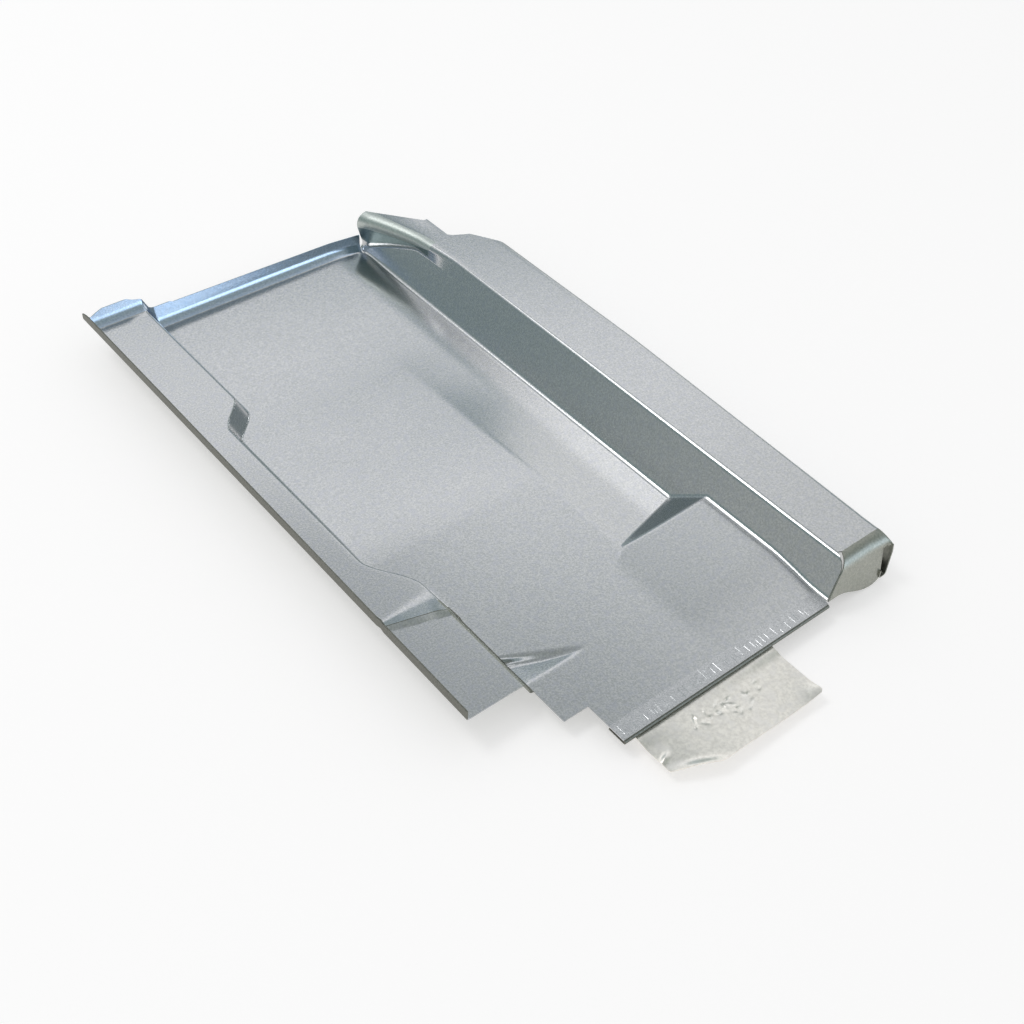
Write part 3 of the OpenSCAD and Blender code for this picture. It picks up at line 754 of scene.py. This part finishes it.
def metal_material(name, light, dark, tint, roughness, grain, bump):
    """Bare sheet metal: a mottled grain in its colour and gloss, and a fine bump."""
    material = bpy.data.materials.new(name)
    material.use_nodes = True
    tree = material.node_tree
    shader = tree.nodes["Principled BSDF"]
    place = node(tree, "ShaderNodeTexCoord").outputs["Object"]
    fine = node(tree, "ShaderNodeTexNoise",
                {"Vector": place, "Scale": grain, "Detail": 3.0, "Roughness": 0.65})
    broad = node(tree, "ShaderNodeTexNoise",
                 {"Vector": place, "Scale": grain * BROAD_SCALE, "Detail": 3.0})
    tints = node(tree, "ShaderNodeTexNoise",
                 {"Vector": place, "Scale": grain * TINT_SCALE, "Detail": 2.0})
    spread = node(tree, "ShaderNodeMapRange",
                  {"Value": fine.outputs["Fac"], "From Min": 0.38, "From Max": 0.62})
    mottled = node(tree, "ShaderNodeMix",
                   {"Factor": spread.outputs["Result"], "A": (*dark, 1), "B": (*light, 1)},
                   data_type="RGBA")
    tint_mask = node(tree, "ShaderNodeMapRange",
                     {"Value": tints.outputs["Fac"], "From Min": 0.45, "From Max": 0.7,
                      "To Max": TINT_SHARE})
    colour = node(tree, "ShaderNodeMix",
                  {"Factor": tint_mask.outputs["Result"], "A": mottled.outputs["Result"],
                   "B": (*tint, 1)}, data_type="RGBA")
    tree.links.new(colour.outputs["Result"], shader.inputs["Base Color"])
    gloss = node(tree, "ShaderNodeMapRange",
                 {"Value": broad.outputs["Fac"], "From Min": 0.3, "From Max": 0.7,
                  "To Min": roughness - GLOSS_SPREAD, "To Max": roughness + GLOSS_SPREAD})
    tree.links.new(gloss.outputs["Result"], shader.inputs["Roughness"])
    grained = node(tree, "ShaderNodeBump",
                   {"Height": fine.outputs["Fac"], "Strength": bump, "Distance": BUMP_DEPTH})
    tree.links.new(grained.outputs["Normal"], shader.inputs["Normal"])
    shader.inputs["Metallic"].default_value = 1.0
    return material


# --- Studio and camera -------------------------------------------------------------
DOME_R, DOME_SEGMENTS, DOME_RINGS = 5.0, 96, 48
# the room from the floor line to overhead, as [elevation, colour]
ROOM = [(0, (0.34, 0.40, 0.40)), (8, (0.36, 0.43, 0.43)), (24, (0.38, 0.45, 0.47)),
        (32, (0.44, 0.52, 0.55)), (34, (1.06, 1.08, 1.11)), (43, (1.07, 1.09, 1.11)),
        (48.5, (0.78, 0.82, 0.84)),
        (53, (0.50, 0.54, 0.55)), (90, (0.42, 0.45, 0.46))]
# patches over it: azimuth, elevation, inner and outer angle, colour
PATCHES = [(-55, 45, 12, 45, (0.38, 0.42, 0.40)), (-55, 12, 12, 26, (1.75, 2.05, 2.4)),
           (128, 8, 15, 50, (0.29, 0.36, 0.37)), (170, 10, 5, 30, (0.52, 0.55, 0.54)),
           (34, 25, 6, 13, (1.02, 1.04, 1.05)), (157, 38, 12, 28, (0.30, 0.38, 0.38)),
           (64, 52, 3, 10, (0.52, 0.56, 0.58)),
           (15, 43, 6, 20, (0.85, 0.87, 0.88)), (92, 60, 6, 13, (2.4, 2.4, 2.4)),
           (126, 61, 5, 8, (2.6, 2.6, 2.6))]
KEY_PLACE, KEY_SIZE, KEY_POWER = (-0.9, 1.0, 2.5), 0.9, 12
SKY_ON_SURFACES, SKY_SEEN = 0.62, 1.0
FLOOR_COLOUR, FLOOR_GLOW, FLOOR_ROUGH, FLOOR_SHINE = 0.72, 0.42, 0.9, 0.1
FLOOR_HALF, FLOOR_SINK = 6.0, 0.0005
CAMERA_PLACE, CAMERA_TARGET = (-0.3922, -0.4693, 0.5598), (-0.01635, -0.04665, 0.010)
CAMERA_ROLL, CAMERA_LENS, SENSOR_WIDTH = 3.65, 49.72, 36.0


def key_light():
    """A soft square lamp behind the plate, high up on its left, turned to its middle."""
    lamp = bpy.data.lights.new("key", "AREA")
    lamp.shape = "RECTANGLE"
    lamp.size, lamp.size_y = KEY_SIZE, KEY_SIZE
    lamp.energy = KEY_POWER
    holder = bpy.data.objects.new("key", lamp)
    bpy.context.scene.collection.objects.link(holder)
    holder.location = KEY_PLACE
    holder.rotation_euler = (-Vector(KEY_PLACE)).to_track_quat("-Z", "Y").to_euler()


def direction(azimuth, elevation):
    a, e = math.radians(azimuth), math.radians(elevation)
    return Vector((math.cos(e) * math.cos(a), math.cos(e) * math.sin(a), math.sin(e)))


def workshop():
    """A dome that only mirrors in the metal: a dim room with a bright window behind
    the plate, as soft patches of light round chosen directions."""
    bpy.ops.mesh.primitive_uv_sphere_add(segments=DOME_SEGMENTS, ring_count=DOME_RINGS,
                                         radius=DOME_R)
    dome = bpy.context.object
    dome.name = "workshop"
    material = bpy.data.materials.new("workshop")
    material.use_nodes = True
    tree = material.node_tree
    tree.nodes.clear()
    place = node(tree, "ShaderNodeTexCoord").outputs["Object"]
    facing = node(tree, "ShaderNodeVectorMath", {0: place}, operation="NORMALIZE").outputs["Vector"]
    height = node(tree, "ShaderNodeSeparateXYZ", {0: facing}).outputs["Z"]
    bands = node(tree, "ShaderNodeValToRGB", {"Fac": height})
    marks = bands.color_ramp.elements
    while len(marks) < len(ROOM):
        marks.new(0.5)
    for mark, (elevation, colour) in zip(marks, ROOM):
        mark.position = math.sin(math.radians(elevation))
        mark.color = (*colour, 1)
    colour = bands.outputs["Color"]
    for azimuth, elevation, inner, outer, patch in PATCHES:
        aimed = node(tree, "ShaderNodeVectorMath", {0: facing, 1: direction(azimuth, elevation)},
                     operation="DOT_PRODUCT")
        near = node(tree, "ShaderNodeMapRange",
                    {"Value": aimed.outputs["Value"], "From Min": math.cos(math.radians(outer)),
                     "From Max": math.cos(math.radians(inner))}, interpolation_type="SMOOTHSTEP")
        colour = node(tree, "ShaderNodeMix", {"Factor": near.outputs["Result"], "A": colour,
                                              "B": (*patch, 1)}, data_type="RGBA").outputs["Result"]
    glow = node(tree, "ShaderNodeEmission", {"Color": colour, "Strength": 1.0})
    node(tree, "ShaderNodeOutputMaterial", {"Surface": glow.outputs[0]})
    dome.data.materials.append(material)
    for polygon in dome.data.polygons:
        polygon.use_smooth = True
    dome.visible_camera = False
    dome.visible_diffuse = False
    dome.visible_shadow = False
    dome.visible_transmission = False


def mirrored(tree):
    """1 for what the camera sees and what metal or glass shows, 0 for diffuse light."""
    path = node(tree, "ShaderNodeLightPath")
    seen = path.outputs["Is Camera Ray"]
    for kind in ("Is Glossy Ray", "Is Transmission Ray"):
        seen = node(tree, "ShaderNodeMath", {0: seen, 1: path.outputs[kind]},
                    operation="MAXIMUM").outputs[0]
    return seen


def studio():
    """Even white light all round, a pale floor, the mirrored workshop and the key lamp."""
    world = bpy.data.worlds.new("studio")
    bpy.context.scene.world = world
    world.use_nodes = True
    tree = world.node_tree
    tree.nodes.clear()
    strength = node(tree, "ShaderNodeMix",
                    {"Factor": mirrored(tree), "A": SKY_ON_SURFACES, "B": SKY_SEEN},
                    data_type="FLOAT")
    sky = node(tree, "ShaderNodeBackground",
               {"Color": (1, 1, 1, 1), "Strength": strength.outputs["Result"]})
    node(tree, "ShaderNodeOutputWorld", {"Surface": sky.outputs[0]})

    mesh = bpy.data.meshes.new("studio_floor")
    far = FLOOR_HALF
    corners = [(-far, -far, 0), (far, -far, 0), (far, far, 0), (-far, far, 0)]
    mesh.from_pydata(corners, [], [(0, 1, 2, 3)])
    floor = bpy.data.objects.new("studio_floor", mesh)
    bpy.context.scene.collection.objects.link(floor)
    material = bpy.data.materials.new("studio_floor")
    material.use_nodes = True
    tree = material.node_tree
    shader = tree.nodes["Principled BSDF"]
    shader.inputs["Base Color"].default_value = (FLOOR_COLOUR, FLOOR_COLOUR, FLOOR_COLOUR, 1)
    shader.inputs["Roughness"].default_value = FLOOR_ROUGH
    shader.inputs["Specular IOR Level"].default_value = FLOOR_SHINE
    shader.inputs["Emission Color"].default_value = (1, 1, 1, 1)
    lift = node(tree, "ShaderNodeMath", {0: mirrored(tree), 1: FLOOR_GLOW}, operation="MULTIPLY")
    tree.links.new(lift.outputs[0], shader.inputs["Emission Strength"])
    mesh.materials.append(material)
    floor.location.z = -FLOOR_SINK

    workshop()
    key_light()


def camera():
    """The view from the front left and above, rolled by CAMERA_ROLL degrees."""
    place, target = Vector(CAMERA_PLACE), Vector(CAMERA_TARGET)
    roll = math.radians(CAMERA_ROLL)
    forward = (target - place).normalized()
    level = forward.cross(Vector((0, 0, 1))).normalized()
    right = math.cos(roll) * level + math.sin(roll) * level.cross(forward)
    up = right.cross(forward)
    data = bpy.data.cameras.new("view")
    data.sensor_width = SENSOR_WIDTH
    data.lens = CAMERA_LENS
    data.clip_start = 0.01
    holder = bpy.data.objects.new("view", data)
    bpy.context.scene.collection.objects.link(holder)
    holder.matrix_world = Matrix.Translation(place) @ Matrix((right, up, -forward)).transposed().to_4x4()
    bpy.context.scene.camera = holder


camera()
studio()
plate = roof_plate()
for row in FINISHES:
    plate.data.materials.append(metal_material(*row))
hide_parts("roof_plate")
ticks = hem_ticks()
ticks.data.materials.append(plate.data.materials[WORN])
skirt = apron()
skirt.data.materials.append(metal_material(*ALUMINIUM))
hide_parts("apron")
bpy.context.scene.view_settings.view_transform = "Standard"
